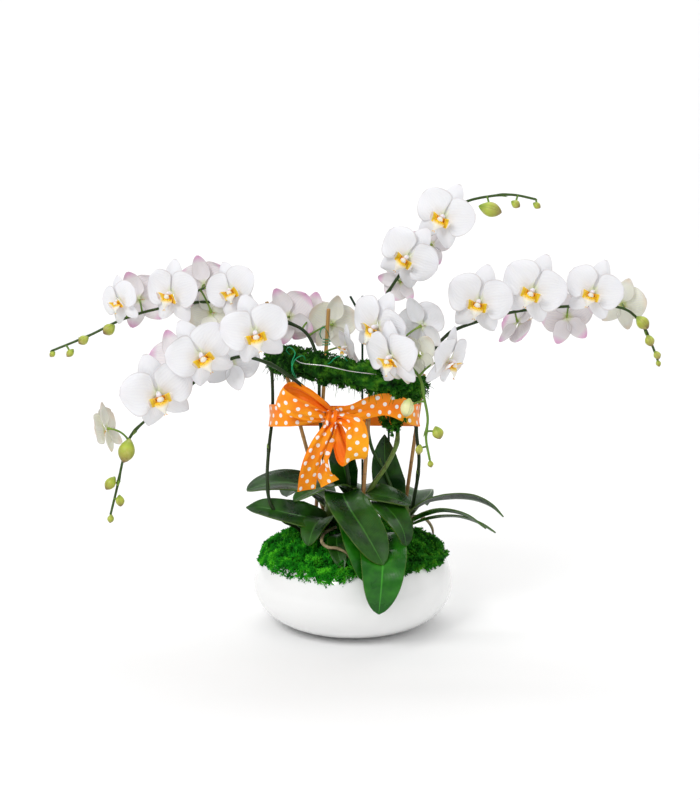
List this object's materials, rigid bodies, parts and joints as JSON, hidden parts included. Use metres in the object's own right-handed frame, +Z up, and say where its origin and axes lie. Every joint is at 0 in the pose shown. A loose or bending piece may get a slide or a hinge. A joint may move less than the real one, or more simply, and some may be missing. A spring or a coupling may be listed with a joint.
{
  "type": "potted orchid",
  "caption": "Round glazed bowl of moth orchids with arching sprays of white flowers, broad leaves, moss, a moss hoop and a dotted ribbon bow.",
  "frame": {"origin": "centre of the bowl's foot, on the surface that the bowl stands on", "axes": "+Z up out of the bowl; +X to the viewer's right, along the spread of the flower sprays; the front faces -Y"},
  "size_m": [0.8414, 0.3056, 0.6087],
  "materials": {
    "porcelain": "smooth white glaze with soft highlights",
    "bark": "rough chipped orchid bark",
    "moss": "springy branching moss, matt",
    "hoop_moss": "packed sheet moss, matt",
    "ribbon": "orange satin ribbon with white dots",
    "bamboo": "split cane, satin",
    "green_wire": "green plastic coating, matt",
    "crown": "ribbed living leaf bases, satin",
    "stem": "smooth living stem, satin",
    "petal": "soft matt petal, slightly translucent",
    "leaf": "thick waxy leaf, glossy"
  },
  "bodies": {
    "root": {"bark_medium": "bark", "bowl": "porcelain", "crown_left": "crown", "crown_middle": "crown", "crown_right": "crown", "flower_a1": "petal", "flower_a2": "petal", "flower_a3": "petal", "flower_a4": "petal", "flower_a5": "petal", "flower_b1": "petal", "flower_b2": "petal", "flower_b3": "petal", "flower_b4": "petal", "flower_c1": "petal", "flower_c2": "petal", "flower_d1": "petal", "flower_d2": "petal", "flower_d3": "petal", "flower_d5": "petal", "flower_d6": "petal", "flower_e1": "petal", "flower_e2": "petal", "flower_e3": "petal", "flower_e5": "petal", "flower_f1": "petal", "flower_f3": "petal", "leaf_left_1": "leaf", "leaf_left_2": "leaf", "leaf_left_3": "leaf", "leaf_left_4": "leaf", "leaf_middle_1": "leaf", "leaf_middle_2": "leaf", "leaf_middle_3": "leaf", "leaf_middle_4": "leaf", "leaf_middle_5": "leaf", "leaf_middle_6": "leaf", "leaf_middle_7": "leaf", "leaf_right_1": "leaf", "leaf_right_2": "leaf", "leaf_right_3": "leaf", "leaf_right_4": "leaf", "moss_hoop": "hoop_moss", "moss_mat": "moss", "ribbon_band": "ribbon", "ribbon_bow": "ribbon", "ribbon_tail_left": "ribbon", "ribbon_tail_right": "ribbon", "spike_front": "stem", "spike_left": "stem", "spike_lower_left": "stem", "spike_right": "stem", "spike_upper_left": "stem", "spike_upper_right": "stem", "stake_bamboo_1": "bamboo", "stake_bamboo_2": "bamboo", "stake_bamboo_3": "bamboo", "stake_bamboo_4": "bamboo", "stake_green_1": "green_wire", "stake_green_2": "green_wire"}
  },
  "joints": []
}
